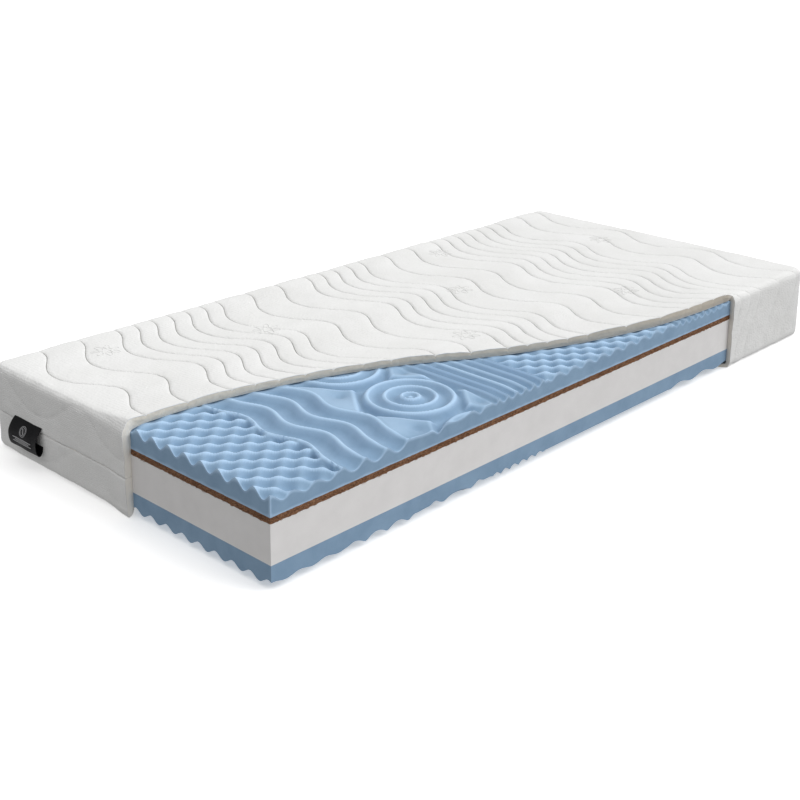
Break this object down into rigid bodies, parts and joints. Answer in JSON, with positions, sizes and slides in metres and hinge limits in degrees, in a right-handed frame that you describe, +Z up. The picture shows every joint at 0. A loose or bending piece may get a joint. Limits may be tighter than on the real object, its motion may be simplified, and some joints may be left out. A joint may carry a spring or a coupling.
{
  "type": "foam mattress",
  "caption": "Single foam mattress with profiled foam faces round a firm middle and a coir sheet, in a quilted cover with a zip, cut away along an S-curve to show its layers.",
  "frame": {"origin": "middle of the underside of the mattress, on the surface it lies on", "axes": "+X along the length, away from the label end; +Y across the width, towards the long side with the zip; +Z up"},
  "size_m": [1.919, 0.9, 0.19],
  "materials": {
    "cover_knit": "matte",
    "cover_wadding": "matte",
    "cover_backing": "matte",
    "blue_foam": "matte",
    "white_foam": "matte",
    "coconut_fibre": "matte",
    "zip_tape": "matte",
    "zip_coil": "satin",
    "zip_metal": "satin",
    "label_ribbon": "satin"
  },
  "bodies": {
    "mattress": {"top_profiled_foam": "blue_foam", "coir_layer": "coconut_fibre", "support_foam": "white_foam", "base_profiled_foam": "blue_foam", "upper_cover_fabric": "cover_knit", "upper_cover_padding": "cover_wadding", "upper_cover_lining": "cover_backing", "lower_cover_fabric": "cover_knit", "lower_cover_padding": "cover_wadding", "lower_cover_lining": "cover_backing", "zip_upper_tape": "zip_tape", "zip_lower_tape": "zip_tape", "zip_upper_coil": "zip_coil", "zip_lower_coil": "zip_coil", "zip_end_stop": "zip_metal", "label_loop": "label_ribbon"},
    "slider": {"zip_slider": "zip_metal"},
    "pull": {"zip_pull": "zip_metal"}
  },
  "joints": [
    {"name": "zip_slide", "type": "slide", "parent": "mattress", "child": "slider", "axis": [-1, 0, 0], "range_m": [0, 1.775]},
    {"name": "pull_swing", "type": "hinge", "parent": "slider", "child": "pull", "pos_m": [0.8815, 0.4476, 0.086], "axis": [0, 0, -1], "range_deg": [0, 178]}
  ]
}
